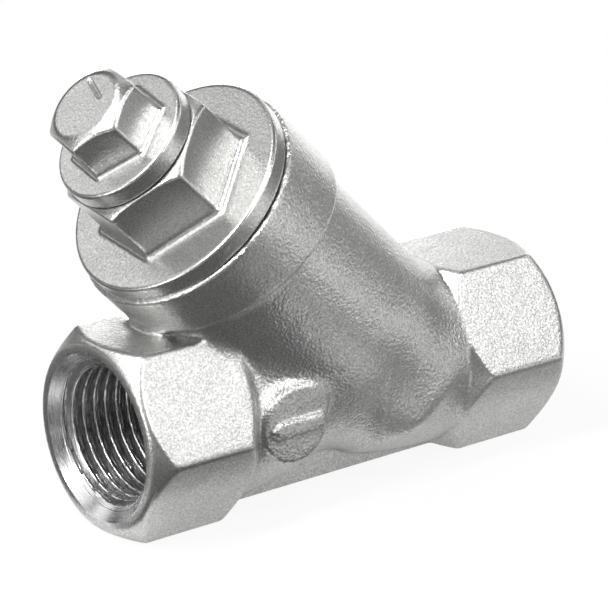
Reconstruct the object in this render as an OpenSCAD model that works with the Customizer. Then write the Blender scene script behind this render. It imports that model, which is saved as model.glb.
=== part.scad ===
// Y-pattern combination valve: strainer and spring check in one slanted leg, drain plug in its cap.
// X runs along the pipe, Z is up, z = 0 is the flat underside, x = 0 lies midway between the ports.

/* [Ports] */
// Distance between the two port faces
face_to_face = 72; // [66:0.5:90]
// Width across the flats of both port hexagons
port_af = 27; // [25:0.5:30]
// Length of each port hexagon, with its two chamfers
port_hex_len = 17.6; // [16:0.1:20]
// Chamfer that takes the hexagon's corners down at both of its ends
port_chamfer = 2.5; // [1:0.1:3]
// Radius of the port's threaded wall
port_bore_r = 10.48; // [9:0.01:11]
// Length of the port's threaded wall
port_bore_len = 13.7; // [10:0.1:15]
// Depth and width of the machined chamfer at the port's mouth
mouth_chamfer = 1.3; // [0.5:0.1:2]

/* [Pipe run] */
// Outer radius of the inlet chamber
chamber_r = 13.05; // [11.5:0.05:13.4]
// Outer radius of the outlet neck where it leaves its hexagon
neck_r = 12.7; // [11.5:0.1:13]
// Outer radius of the waist between neck and chamber
waist_r = 9.2; // [8.5:0.1:10]
// Where the waist's narrowest part begins
waist_x = -1; // [-3:0.1:0]
// Length of the waist's narrowest part
waist_len = 3.4; // [2:0.1:4]
// Wall between the inlet chamber's hollow and its outside
chamber_wall = 2.9; // [2:0.1:4]
// Where the inlet chamber's hollow begins to narrow towards the waist
inlet_taper_x = 11.9; // [9:0.1:15]
// Radius of that hollow at the waist
inlet_end_r = 8.15; // [6:0.05:9]
// Radius of the outlet passage behind the thread
outlet_r = 8.4; // [7:0.1:9]
// Radius of the outlet passage at the bridge
outlet_end_r = 6.8; // [5.5:0.1:7.5]
// Width of the flat rib under the body
rib_w = 7; // [4:0.5:10]

/* [Slanted leg] */
// Tilt of the leg from upright, towards the outlet
leg_angle = 44.5; // [40:0.5:50]
// Where the leg's axis crosses the pipe's axis
leg_x = 9.9; // [8:0.1:12]
// Outer radius of the leg
leg_r = 15.5; // [14.5:0.1:16.2]
// Distance along the leg from the pipe's axis to the rim
leg_len = 43.45; // [40:0.05:50]
// Outer radius of the collar round the cap's thread
collar_r = 16.8; // [16.4:0.1:18]
// Length of the collar, measured on the leg's axis
collar_len = 9.45; // [6:0.05:14]
// Tilt of the collar's shoulder against the leg
shoulder_tilt = 10.1; // [0:0.1:15]
// Radius of the leg's hollow round the screen
leg_bore_r = 12; // [11.5:0.1:12.5]
// Radius of the pocket at the bridge that centres the screen
pocket_r = 10.7; // [10.6:0.05:11]
// Depth of that pocket
pocket_depth = 7; // [3:0.5:10]

/* [Bridge and seat] */
// Distance along the leg from the pipe's axis to the bridge's upper face
bridge_s = 1.5; // [0.5:0.1:3]
// Thickness of the bridge
bridge_t = 3.1; // [2:0.1:4]
// Radius of the hole that the disc closes
seat_r = 7; // [6:0.1:7.2]
// Width of the raised seat's face
seat_w = 1.3; // [0.8:0.1:1.3]
// Height of the raised seat over the bridge
seat_h = 0.9; // [0.5:0.1:1.5]

/* [Boss] */
// Where the round boss sits along the neck
boss_x = -11.9; // [-13:0.1:-10]
// Radius of the boss
boss_r = 5.4; // [4:0.1:6]
// Distance of the boss's face from the middle plane
boss_y = 13; // [12.7:0.1:14]
// Length of the direction bar, with its point
bar_len = 9.2; // [6:0.1:9.5]
// Length of the bar's point
bar_tip = 1.45; // [0.5:0.05:3]
// Width of the direction bar
bar_w = 2.4; // [1.5:0.1:3]
// Height of the direction bar over the boss
bar_h = 0.7; // [0.3:0.1:1]

/* [Cap] */
// Radius of the cap's flange
cap_flange_r = 16.3; // [15.8:0.1:17.5]
// Thickness of the cap's flange
cap_flange_t = 2.75; // [2:0.05:4]
// Width across the flats of the cap's hexagon
cap_af = 19.9; // [19.5:0.1:22]
// Height of the cap's hexagon
cap_hex_h = 9.45; // [7:0.05:12]
// Height of the chamfer on the hexagon's corners
cap_hex_chamfer = 0.95; // [0.5:0.05:1.5]
// Bevel round the front edge of the cap's flange
flange_edge = 0.35; // [0.1:0.05:0.6]
// Turn of the cap's hexagon about the leg
cap_turn = 25.6; // [0:0.1:60]
// Radius of the cap's threaded spigot
spigot_r = 13.35; // [13:0.05:14]
// Bevel that leads the spigot and the shank into their threads
thread_lead = 0.8; // [0.4:0.1:1.2]
// Length of the spigot below the flange
spigot_len = 9.55; // [8:0.05:12]
// Radius of the socket in the spigot
socket_r = 10.6; // [10.55:0.05:11]
// Depth of the socket in the spigot
socket_depth = 6; // [4:0.5:7]

/* [Gaskets] */
// Thickness of the cap's gasket
cap_gasket_t = 1; // [0.6:0.1:1.5]
// Width of the cap's gasket
cap_gasket_w = 1.7; // [1:0.1:1.9]
// Gap left in sight between the cap's flange and the rim
cap_gap = 0.3; // [0.1:0.05:0.6]
// Thickness of the plug's gasket
plug_gasket_t = 1; // [0.6:0.1:1.5]
// Width of the plug's gasket
plug_gasket_w = 1.9; // [1:0.1:2]
// Gap left in sight between the plug's collar and the cap
plug_gap = 0.15; // [0.05:0.05:0.4]

/* [Drain plug] */
// Radius of the plug's collar
plug_collar_r = 9.85; // [9.4:0.05:10.5]
// Thickness of the plug's collar
plug_collar_t = 2.8; // [2:0.1:4]
// Bevel round the front edge of the plug's collar
collar_edge = 0.3; // [0.1:0.05:0.6]
// Width across the flats of the plug's hexagon
plug_af = 12; // [10:0.1:13]
// Height of the plug's hexagon
plug_hex_h = 7.1; // [5:0.1:9]
// Height of the chamfer on the hexagon's corners
plug_hex_chamfer = 1.3; // [0.5:0.1:2]
// Turn of the plug's hexagon about the leg
plug_turn = 20; // [0:0.1:60]
// Radius of the plug's threaded shank
shank_r = 6.55; // [6:0.05:7]
// Length of the shank below the collar
shank_len = 11.6; // [8:0.1:13]
// Length of the line cut in the plug's end
mark_len = 4.2; // [1:0.1:5]
// Width of that line
mark_w = 0.35; // [0.2:0.05:0.6]
// Depth of that line
mark_depth = 0.25; // [0.1:0.05:0.5]
// Distance of the line's middle from the plug's axis
mark_off = 2.5; // [0:0.1:4]
// Turn of the line about the plug's end
mark_turn = 68; // [0:1:180]

/* [Strainer screen] */
// Outer radius of the screen
screen_r = 9.85; // [9.7:0.05:10]
// Thickness of the screen's sheet
screen_t = 0.5; // [0.3:0.05:0.7]
// Thickness of both end rings
ring_t = 0.65; // [0.4:0.05:0.8]
// Height of the lower end ring
lower_ring_h = 3; // [2:0.5:5]
// Height of the upper end ring
upper_ring_h = 5; // [3:0.5:7]
// Radius of the screen's holes
hole_r = 1.2; // [0.8:0.1:1.4]
// Holes in one row round the screen
holes_round = 12; // [6:1:14]
// Rows of holes along the screen
hole_rows = 6; // [2:1:8]

/* [Stem guide] */
// Outer radius of the guide's sleeve
sleeve_r = 3.7; // [3.5:0.1:4.5]
// Length of the guide's sleeve with its plate
sleeve_len = 20.2; // [14:0.1:22]
// Thickness of the guide's plate
guide_t = 1.5; // [1:0.1:2.5]
// Width of the guide's rim
guide_rim_w = 1.8; // [1.2:0.1:2.5]
// Width of each spoke between hub and rim
spoke_w = 2.2; // [1.5:0.1:3]
// Number of spokes
spokes = 3; // [3:1:5]

/* [Check disc] */
// Radius of the disc
disc_r = 8.9; // [8.7:0.05:9]
// Thickness of the disc
disc_t = 3.2; // [2.5:0.1:4]
// Bevel on the disc's upper edge and on the stem's end
disc_edge = 0.5; // [0.2:0.1:1]
// Radius of the stem
stem_r = 2.5; // [2:0.1:2.6]
// Length of the stem above the disc
stem_len = 27.6; // [20:0.1:30]
// Radius of the stud under the disc
stud_r = 1.5; // [1.2:0.1:1.8]
// Length of stud that stands out under the nut
stud_out = 0.8; // [0.3:0.1:1.5]

/* [Disc seal] */
// Thickness of the soft seal
seal_t = 1.6; // [1.2:0.1:2]
// How deep the seal lies in the disc
seal_in = 0.8; // [0.5:0.1:1]
// Width of the disc's lip round the seal
lip_w = 0.45; // [0.3:0.05:0.6]
// Radius of the washer that clamps the seal
retainer_r = 5.8; // [4:0.1:6.5]
// Thickness of the washer
retainer_t = 1; // [0.6:0.1:1.5]
// Width across the flats of the nut
nut_af = 5.5; // [5:0.1:7]
// Thickness of the nut
nut_h = 2.4; // [2:0.1:3]

/* [Closing spring] */
// Mean radius of the spring's coils
coil_r = 3.05; // [2.95:0.05:3.2]
// Radius of the spring's wire
wire_r = 0.35; // [0.2:0.05:0.4]
// Turns between the two closed ends
open_turns = 7; // [4:1:9]

/* [Clearances] */
// Running clearance of threaded and sliding fits, on the radius
run_clear = 0.05; // [0.02:0.01:0.1]
// Clearance between a face that turns and the washer or plate it turns on
face_clear = 0.02; // [0.01:0.01:0.05]
// Loose clearance round gaskets, seal and rings, on the radius
loose_clear = 0.15; // [0.1:0.05:0.3]

/* [Hidden] */
$fn = 96;
eps = 0.01;
far = 80;
lap = 1;
corner_run = 1.45;
blend_fn = 48;
axis_z = port_af/2;
half_run = face_to_face/2;
hex_in = half_run - port_hex_len;
bore_in = half_run - port_bore_len - mouth_chamfer;
port_corner_r = port_af/sqrt(3);
mouth_r = port_bore_r + mouth_chamfer;

bridge_under_s = bridge_s - bridge_t;
seat_s = bridge_s + seat_h;
chamber_in_r = chamber_r - chamber_wall;
shoulder_s = leg_len - collar_len;
blend_s = 12;
blend_x = 9;
blend_in = 0.05;
blend_end = 0.5;
neck_lap = 1.5;
neck_belly = 0.3;
chamber_curve = [[2, 1.6], [6, 0.6], [12, 0]];
rib_up = 0.02;

flange_s = leg_len + cap_gap;
cap_face_s = flange_s + cap_flange_t;
cap_top_s = cap_face_s + cap_hex_h;
cap_corner_r = cap_af/sqrt(3);
spigot_s = flange_s - spigot_len;
socket_s = spigot_s + socket_depth;
cap_bore_r = spigot_r + run_clear;
rim_recess_s = flange_s - face_clear - cap_gasket_t;
cap_gasket_in_r = spigot_r + loose_clear;
cap_gasket_r = cap_gasket_in_r + cap_gasket_w;
rim_recess_r = cap_gasket_r + loose_clear;

plug_bore_r = shank_r + run_clear;
collar_s = cap_top_s + plug_gap;
plug_face_s = collar_s + plug_collar_t;
plug_end_s = plug_face_s + plug_hex_h;
plug_corner_r = plug_af/sqrt(3);
plug_recess_s = collar_s - face_clear - plug_gasket_t;
plug_gasket_in_r = shank_r + loose_clear;
plug_gasket_r = plug_gasket_in_r + plug_gasket_w;
shank_end_s = collar_s - shank_len;

guide_top_s = socket_s - face_clear;
guide_s = guide_top_s - guide_t;
guide_r = socket_r - loose_clear + run_clear;
sleeve_end_s = guide_top_s - sleeve_len;
screen_len = guide_s - bridge_s;
hole_pitch = (screen_len - lower_ring_h - upper_ring_h)/hole_rows;

seal_top_s = seat_s + seal_t;
disc_s = seal_top_s - seal_in;
disc_top_s = disc_s + disc_t;
seal_r = disc_r - lip_w - run_clear;
stud_hole_r = stud_r + run_clear;
retainer_s = seat_s - retainer_t;
nut_s = retainer_s - nut_h;
stud_end_s = nut_s - stud_out;

spring_len = sleeve_end_s - disc_top_s;
sides = 6;
steps = 20;
closed_turn = 1;
coil_gap = 0.04;
all_turns = open_turns + 2*closed_turn;

steel = [0.78, 0.78, 0.77];
bright = [0.86, 0.86, 0.87];
ptfe = [0.93, 0.92, 0.88];
dark_rubber = [0.12, 0.12, 0.13];
spring_steel = [0.62, 0.63, 0.65];

// Puts a drawing on the slanted leg: its z runs out along the leg from the pipe's axis.
module on_leg(s = 0) {
    translate([leg_x, 0, axis_z])
        rotate([0, -leg_angle, 0])
            translate([0, 0, s])
                children();
}

// Puts a drawing on the pipe's axis: its z runs towards the inlet.
module on_run(x = 0) {
    translate([x, 0, axis_z])
        rotate([0, 90, 0])
            children();
}

// A ring or washer standing on z = 0.
module ring(outer_r, inner_r, h) {
    difference() {
        cylinder(r = outer_r, h = h);
        translate([0, 0, -eps])
            cylinder(r = inner_r, h = h + 2*eps);
    }
}

// A hexagon that stands on z = 0, its top corners taken off by a cone.
module wrench_hex(corner_r, h, chamfer, turn) {
    intersection() {
        rotate([0, 0, turn])
            cylinder(r = corner_r, h = h, $fn = 6);
        union() {
            cylinder(r = corner_r + eps, h = h - chamfer);
            translate([0, 0, h - chamfer])
                cylinder(r1 = corner_r + eps, r2 = corner_r - chamfer*corner_run, h = chamfer);
        }
    }
}

// One port hexagon, flats on top and underneath, chamfered at both ends.
module port_hex() {
    intersection() {
        rotate([0, 0, 30])
            cylinder(r = port_corner_r, h = port_hex_len, $fn = 6);
        union() {
            cylinder(r1 = port_corner_r - port_chamfer, r2 = port_corner_r, h = port_chamfer);
            translate([0, 0, port_chamfer])
                cylinder(r = port_corner_r, h = port_hex_len - 2*port_chamfer);
            translate([0, 0, port_hex_len - port_chamfer])
                cylinder(r1 = port_corner_r, r2 = port_corner_r - port_chamfer, h = port_chamfer);
        }
    }
}

// The turned outside of the pipe run: outlet neck, waist and inlet chamber.
module run_outside() {
    waist_end = waist_x + waist_len;
    neck_mid_x = (waist_x - hex_in)/2;
    neck_mid_r = (2*neck_r + waist_r)/3 + neck_belly;
    neck_slope = (neck_r - neck_mid_r)/(hex_in + neck_mid_x);
    on_run()
        rotate_extrude()
            polygon([
                [0, -hex_in - neck_lap],
                [neck_r + neck_lap*neck_slope, -hex_in - neck_lap],
                [neck_mid_r, neck_mid_x],
                [waist_r, waist_x],
                [waist_r, waist_end],
                for (p = chamber_curve) [chamber_r - p[1], waist_end + p[0]],
                [chamber_r, hex_in + lap],
                [0, hex_in + lap]
            ]);
}

// The leg and its collar, whose shoulder is tilted against the leg.
module leg_outside() {
    on_leg(blend_s)
        cylinder(r = leg_r, h = leg_len - blend_s - lap);
    on_leg()
        intersection() {
            translate([0, 0, shoulder_s - collar_r])
                cylinder(r = collar_r, h = collar_len + collar_r);
            translate([0, 0, shoulder_s])
                rotate([0, shoulder_tilt, 0])
                    translate([-far/2, -far/2, 0])
                        cube([far, far, far]);
        }
}

// The cast swelling that carries the leg down into the inlet chamber.
module leg_blend() {
    hull() {
        on_leg(blend_s)
            cylinder(r = leg_r - blend_in, h = lap, $fn = blend_fn);
        on_run(blend_x)
            cylinder(r = chamber_r - blend_in, h = hex_in - blend_x + blend_end, $fn = blend_fn);
    }
}

// The flat rib that joins the two hexagons underneath.
module rib() {
    translate([-hex_in - port_chamfer, -rib_w/2, rib_up])
        cube([2*(hex_in + port_chamfer), rib_w, axis_z - waist_r + lap]);
}

// The round boss on the neck, with a plain bar that points to the outlet.
module boss() {
    translate([boss_x, 0, axis_z])
        rotate([90, 0, 0]) {
            translate([0, 0, boss_y - neck_r/2])
                cylinder(r = boss_r, h = neck_r/2);
            translate([0, 0, boss_y - eps])
                linear_extrude(height = bar_h + eps)
                    polygon([
                        [-bar_len/2, 0],
                        [-bar_len/2 + bar_tip, bar_w/2],
                        [bar_len/2, bar_w/2],
                        [bar_len/2, -bar_w/2],
                        [-bar_len/2 + bar_tip, -bar_w/2]
                    ]);
        }
}

// The threaded wall of one port and the chamfer at its mouth, drawn inward from the face.
module port_hollow() {
    translate([0, 0, -eps])
        cylinder(r1 = mouth_r + eps, r2 = port_bore_r, h = mouth_chamfer + eps);
    translate([0, 0, mouth_chamfer - eps])
        cylinder(r = port_bore_r, h = port_bore_len + eps);
}

// Everything on the leg's far side of a plane across the leg.
module above_plane(s) {
    on_leg(s)
        translate([-far/2, -far/2, 0])
            cube([far, far, far]);
}

// The outlet passage, from the bridge to the thread.
module outlet_hollow() {
    intersection() {
        on_run(-bore_in - eps)
            cylinder(r1 = outlet_r, r2 = outlet_end_r, h = bore_in + waist_x + waist_len);
        above_plane(bridge_s);
    }
}

// The inlet chamber's hollow, from the thread to the underside of the bridge.
module inlet_hollow() {
    difference() {
        union() {
            on_run(inlet_taper_x)
                cylinder(r = chamber_in_r, h = bore_in - inlet_taper_x + eps);
            on_run(waist_x + waist_len)
                cylinder(r1 = inlet_end_r, r2 = chamber_in_r, h = inlet_taper_x - waist_x - waist_len + eps);
        }
        above_plane(bridge_under_s);
    }
}

// The leg's hollow: pocket, screen space, thread for the cap and recess for its gasket.
module leg_hollow() {
    on_leg(bridge_s)
        cylinder(r = pocket_r, h = pocket_depth + eps);
    on_leg(bridge_s + pocket_depth)
        cylinder(r = leg_bore_r, h = spigot_s - bridge_s - pocket_depth);
    on_leg(spigot_s - lap)
        cylinder(r = cap_bore_r, h = leg_len - spigot_s + lap + eps);
    on_leg(rim_recess_s)
        cylinder(r = rim_recess_r, h = leg_len - rim_recess_s + eps);
}

module body() {
    color(steel)
        union() {
            difference() {
                union() {
                    on_run(hex_in)
                        port_hex();
                    on_run(-half_run)
                        port_hex();
                    run_outside();
                    leg_outside();
                    leg_blend();
                    rib();
                    boss();
                }
                on_run(-half_run)
                    port_hollow();
                on_run(half_run)
                    rotate([180, 0, 0])
                        port_hollow();
                outlet_hollow();
                inlet_hollow();
                leg_hollow();
                on_leg(bridge_under_s - lap)
                    cylinder(r = seat_r, h = bridge_t + 2*lap);
            }
            on_leg(bridge_s - lap/2)
                ring(seat_r + seat_w, seat_r, seat_h + lap/2);
        }
}

module cap() {
    color(steel)
        on_leg()
            difference() {
                union() {
                    translate([0, 0, spigot_s])
                        cylinder(r1 = spigot_r - thread_lead, r2 = spigot_r, h = thread_lead);
                    translate([0, 0, spigot_s + thread_lead])
                        cylinder(r = spigot_r, h = spigot_len - thread_lead);
                    translate([0, 0, flange_s])
                        cylinder(r = cap_flange_r, h = cap_flange_t - flange_edge);
                    translate([0, 0, cap_face_s - flange_edge])
                        cylinder(r1 = cap_flange_r, r2 = cap_flange_r - flange_edge, h = flange_edge);
                    translate([0, 0, cap_face_s - eps])
                        wrench_hex(cap_corner_r, cap_hex_h + eps, cap_hex_chamfer, cap_turn);
                }
                translate([0, 0, spigot_s - eps])
                    cylinder(r = socket_r, h = socket_depth + eps);
                translate([0, 0, socket_s - eps])
                    cylinder(r = plug_bore_r, h = cap_top_s - socket_s + 2*eps);
                translate([0, 0, plug_recess_s])
                    cylinder(r = plug_gasket_r + loose_clear, h = far);
            }
}

module cap_gasket() {
    color(ptfe)
        on_leg(rim_recess_s)
            ring(cap_gasket_r, cap_gasket_in_r, cap_gasket_t);
}

module drain_plug() {
    color(steel)
        on_leg()
            difference() {
                union() {
                    translate([0, 0, shank_end_s])
                        cylinder(r1 = shank_r - thread_lead, r2 = shank_r, h = thread_lead);
                    translate([0, 0, shank_end_s + thread_lead])
                        cylinder(r = shank_r, h = shank_len - thread_lead);
                    translate([0, 0, collar_s])
                        cylinder(r = plug_collar_r, h = plug_collar_t - collar_edge);
                    translate([0, 0, plug_face_s - collar_edge])
                        cylinder(r1 = plug_collar_r, r2 = plug_collar_r - collar_edge, h = collar_edge);
                    translate([0, 0, plug_face_s - eps])
                        wrench_hex(plug_corner_r, plug_hex_h + eps, plug_hex_chamfer, plug_turn);
                }
                translate([mark_off, 0, plug_end_s])
                    rotate([0, 0, mark_turn])
                        cube([mark_len, mark_w, 2*mark_depth], center = true);
            }
}

module plug_gasket() {
    color(ptfe)
        on_leg(plug_recess_s)
            ring(plug_gasket_r, plug_gasket_in_r, plug_gasket_t);
}

// A rolled sheet with staggered rows of round holes between its two end rings.
module strainer_screen() {
    color(bright)
        on_leg(bridge_s)
            difference() {
                ring(screen_r, screen_r - screen_t, screen_len);
                for (row = [0 : hole_rows - 1])
                    for (k = [0 : holes_round - 1])
                        translate([0, 0, lower_ring_h + hole_pitch*(row + 0.5)])
                            rotate([0, 90, (k + (row % 2)/2)*360/holes_round])
                                translate([0, 0, screen_r - screen_t - lap])
                                    cylinder(r = hole_r, h = screen_t + 2*lap, $fn = 24);
            }
}

module screen_lower_ring() {
    color(bright)
        on_leg(bridge_s)
            ring(screen_r + ring_t, screen_r, lower_ring_h);
}

module screen_upper_ring() {
    color(bright)
        on_leg(guide_s - upper_ring_h)
            ring(screen_r + ring_t, screen_r, upper_ring_h);
}

// A long sleeve for the stem, carried in the cap's socket by a spoked plate.
module stem_guide() {
    color(bright)
        on_leg()
            difference() {
                union() {
                    translate([0, 0, sleeve_end_s])
                        cylinder(r = sleeve_r, h = sleeve_len);
                    translate([0, 0, guide_s])
                        ring(guide_r, guide_r - guide_rim_w, guide_t);
                    for (k = [0 : spokes - 1])
                        translate([0, 0, guide_s])
                            rotate([0, 0, (k + 0.5)*360/spokes])
                                translate([0, -spoke_w/2, 0])
                                    cube([guide_r - guide_rim_w/2, spoke_w, guide_t]);
                }
                translate([0, 0, sleeve_end_s - eps])
                    cylinder(r = stem_r + run_clear, h = sleeve_len + 2*eps);
            }
}

// The turned disc with its stem above and its threaded stud underneath.
module check_disc() {
    color(bright)
        on_leg()
            union() {
                translate([0, 0, stud_end_s])
                    cylinder(r = stud_r, h = seal_top_s - stud_end_s + lap);
                translate([0, 0, disc_s])
                    ring(disc_r, seal_r + run_clear, seal_in);
                translate([0, 0, seal_top_s])
                    cylinder(r = disc_r, h = disc_top_s - seal_top_s - disc_edge);
                translate([0, 0, disc_top_s - disc_edge])
                    cylinder(r1 = disc_r, r2 = disc_r - disc_edge, h = disc_edge);
                translate([0, 0, disc_top_s - eps])
                    cylinder(r = stem_r, h = stem_len - disc_edge + eps);
                translate([0, 0, disc_top_s + stem_len - disc_edge])
                    cylinder(r1 = stem_r, r2 = stem_r - disc_edge, h = disc_edge);
            }
}

module disc_seal() {
    color(dark_rubber)
        on_leg(seat_s)
            ring(seal_r, stud_hole_r, seal_t);
}

module seal_retainer() {
    color(bright)
        on_leg(retainer_s)
            ring(retainer_r, stud_hole_r, retainer_t);
}

module retainer_nut() {
    color(bright)
        on_leg(nut_s)
            difference() {
                cylinder(r = nut_af/sqrt(3), h = nut_h, $fn = 6);
                translate([0, 0, -eps])
                    cylinder(r = stud_hole_r, h = nut_h + 2*eps);
            }
}

// Height of the wire's middle at a turn counted from the lower end: both end turns lie closed.
function coil_z(turn) =
    let (shut = 2*wire_r + coil_gap)
    let (open = (spring_len - 2*wire_r - 2*closed_turn*shut)/open_turns)
    wire_r + (turn < closed_turn ? turn*shut
        : turn < all_turns - closed_turn ? closed_turn*shut + (turn - closed_turn)*open
        : closed_turn*shut + open_turns*open + (turn - all_turns + closed_turn)*shut);

// The corners of the wire's section at one step.
function coil_ring(i) =
    let (turn = i/steps)
    [for (j = [0 : sides - 1])
        let (a = 360*j/sides)
        [(coil_r + wire_r*cos(a))*cos(360*turn),
            (coil_r + wire_r*cos(a))*sin(360*turn),
            coil_z(turn) + wire_r*sin(a)]];

module closing_spring() {
    n = all_turns*steps;
    points = [for (i = [0 : n]) each coil_ring(i)];
    walls = [for (i = [0 : n - 1]) for (j = [0 : sides - 1])
        let (k = (j + 1) % sides)
        each [[i*sides + j, (i + 1)*sides + j, (i + 1)*sides + k],
            [i*sides + j, (i + 1)*sides + k, i*sides + k]]];
    ends = [[for (j = [0 : sides - 1]) j], [for (j = [sides - 1 : -1 : 0]) n*sides + j]];
    color(spring_steel)
        on_leg(disc_top_s)
            polyhedron(points = points, faces = concat(walls, ends), convexity = 10);
}

body();
cap();
cap_gasket();
drain_plug();
plug_gasket();
strainer_screen();
screen_lower_ring();
screen_upper_ring();
stem_guide();
check_disc();
disc_seal();
seal_retainer();
retainer_nut();
closing_spring();
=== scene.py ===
"""Dresses the Y-pattern combination valve: cast body, cap, drain plug, threads, inner parts."""

import math
from functools import partial

import bmesh
import bpy
import numpy as np
from bpy.props import (FloatProperty, FloatVectorProperty, IntProperty,
                       PointerProperty)
from mathutils import Matrix, Vector


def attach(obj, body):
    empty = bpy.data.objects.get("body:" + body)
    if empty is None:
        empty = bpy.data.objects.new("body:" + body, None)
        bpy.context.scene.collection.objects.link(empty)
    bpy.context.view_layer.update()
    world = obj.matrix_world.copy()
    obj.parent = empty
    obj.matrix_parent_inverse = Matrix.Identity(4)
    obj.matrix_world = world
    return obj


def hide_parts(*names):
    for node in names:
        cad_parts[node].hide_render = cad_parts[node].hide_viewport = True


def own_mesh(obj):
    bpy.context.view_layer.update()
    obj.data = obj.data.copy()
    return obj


bl_info = {
    "name": "Combination valve",
    "version": (1, 0, 0),
    "blender": (4, 5, 0),
    "location": "3D View > Sidebar > Valve",
    "description": "Builds the cast body, cap, drain plug and inner parts of a Y-pattern valve",
    "category": "Object",
}

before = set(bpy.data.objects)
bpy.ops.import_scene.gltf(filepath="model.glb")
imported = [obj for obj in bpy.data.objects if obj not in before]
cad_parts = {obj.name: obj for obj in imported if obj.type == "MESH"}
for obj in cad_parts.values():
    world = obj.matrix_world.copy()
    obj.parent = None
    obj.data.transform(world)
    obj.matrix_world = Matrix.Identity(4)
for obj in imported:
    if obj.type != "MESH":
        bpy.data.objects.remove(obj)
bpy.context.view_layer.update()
MM = 0.001

# Sizes, in millimetres
AXIS_Z = 13.5
LEG_X = 9.9
LEG_OUT = np.array([-0.700909264, 0.0, 0.713250449])
LEG_SIDE = np.array([0.713250449, 0.0, 0.700909264])
HALF_RUN = 36.0
HEX_LEN = 17.6
HEX_FLAT = 13.5
HEX_CORNER = 15.588
HEX_CHAMFER = 2.5
MOUTH_R = 11.78
THREAD_MAJOR_R = 10.48
THREAD_MINOR_R = 9.32
THREAD_LEN = 13.7
MOUTH_DEPTH = 1.3
THREAD_END = MOUTH_DEPTH + THREAD_LEN
RUN_OUT = 1.6
ROWS_PER_TURN = 14

LEG_R = 15.5
LEG_FOOT_HALF_W = 13.1
RIM_S = 43.45
COLLAR_R = 16.8
SHOULDER_S = 34.0
SHOULDER_TILT = math.radians(10.1)
RIB_HALF_W = 3.5
RIB_TOP_Z = -7.0
RIB_END_X = 20.5
BOSS_X = -11.9
BOSS_R = 5.4
BOSS_OUT = 13.0
BAR_OUT = 13.7
BAR_HALF_LEN = 4.6
BAR_HALF_W = 1.2
BAR_TIP = 1.45

# Places along the leg, from the point where its axis crosses the pipe's
BRIDGE_UNDER_S = -1.6
BRIDGE_S = 1.5
SEAT_S = 2.4
SEAT_R = 7.0
SEAT_OUT_R = 8.3
POCKET_R = 10.7
POCKET_END_S = 8.5
LEG_BORE_R = 12.0
CAP_THREAD_S = 33.2
CAP_THREAD_R = 13.4
CAP_RECESS_S = 42.73
CAP_RECESS_R = 15.35
FLANGE_S = 43.75
FLANGE_R = 16.45
CAP_FACE_S = 46.5
CAP_TOP_S = 55.95
CAP_FLAT = 9.95
CAP_TURN = math.radians(25.6)
CAP_CONE_R = 10.11
CONE_SLOPE = 1.45
SPIGOT_S = 34.2
SPIGOT_MAJOR_R = 13.35
SPIGOT_MINOR_R = 12.45
SPIGOT_BORE_R = 6.58
SOCKET_S = 40.2
SOCKET_R = 10.6
PLUG_BORE_R = 6.6
PLUG_RECESS_S = 55.08
PLUG_RECESS_R = 8.75
COLLAR_S = 56.1
PLUG_COLLAR_R = 9.85
PLUG_FACE_S = 58.9
PLUG_END_S = 66.0
PLUG_FLAT = 6.0
PLUG_TURN = math.radians(20.0)
PLUG_CONE_R = 5.04
SHANK_END_S = 44.5
SHANK_MAJOR_R = 6.55
SHANK_MINOR_R = 5.75
SHANK_BORE_R = 0.4
THREAD_LEAD = 0.8
THREAD_LAP = 0.3
MARK_FROM, MARK_TO, MARK_R = np.array([3.3, 2.41]), np.array([1.68, -1.56]), 0.28
SPRING_LOW_S = 6.4
SPRING_HIGH_S = 19.98
SCREEN_LOW_S = 1.5
SCREEN_HIGH_S = 38.68
SCREEN_R = 9.85
SCREEN_T = 0.5
SCREEN_RIM_LOW = 3.0
SCREEN_RIM_HIGH = 5.0
PUNCH_LEN = 3.0
HOLE_SIDES = 12
COIL_R = 3.05
WIRE_R = 0.35
CLOSED_PITCH = 1.057
WIRE_SIDES = 12
COIL_STEPS = 32

# The passages as (radius, x), and how far the leg's cutters reach past what they cut
OUTLET_PASSAGE = [(0, -21.01), (8.4, -21.01), (6.8, 2.4), (0, 2.4)]
INLET_PASSAGE = [(0, 21.01), (10.15, 21.01), (10.15, 11.9), (8.15, 2.4), (0, 2.4)]
SEAT_CUT_S = 2.6
RIM_CUT_S = 44.5
CAP_CUT_LOW_S = 40.0
CAP_CUT_HIGH_S = 58.0

# Corners of the boxes that hold each mesh's field
CASTING_BOX = (-37.0, -18.0, -14.6), (37.0, 18.0, 43.5)
CAP_BOX = (-17.4, -17.4, 42.7), (17.4, 17.4, 57.0)
PLUG_BOX = (-10.57, -10.63, 55.37), (10.6, 10.6, 66.8)


# Distance fields
def blend_union(a, b, width):
    """Two solids joined with a cast fillet of about this width."""
    share = np.clip(0.5 + 0.5*(b - a)/width, 0.0, 1.0)
    return b*(1.0 - share) + a*share - width*share*(1.0 - share)


def blend_cut(a, b, width):
    """What two solids share, its edge rounded over about this width."""
    return -blend_union(-a, -b, width)


def hexagon(u, v, flat, turn, edge):
    """Distance to a hexagonal bar whose flats face turn + 30, 90, 150 degrees."""
    reach = None
    for k in range(3):
        angle = turn + math.radians(30 + 60*k)
        side = np.abs(u*math.cos(angle) + v*math.sin(angle)) - flat
        reach = side if reach is None else blend_cut(reach, side, edge)
    return reach


def smooth_step(x, low, high):
    t = np.clip((x - low)/(high - low), 0.0, 1.0)
    return t*t*(3.0 - 2.0*t)


def leg_axes(p):
    """Side, across and along coordinates of points in the leg's own frame."""
    x = p[:, 0] - LEG_X
    side = x*LEG_SIDE[0] + p[:, 2]*LEG_SIDE[2]
    along = x*LEG_OUT[0] + p[:, 2]*LEG_OUT[2]
    return side, p[:, 1], along


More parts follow.
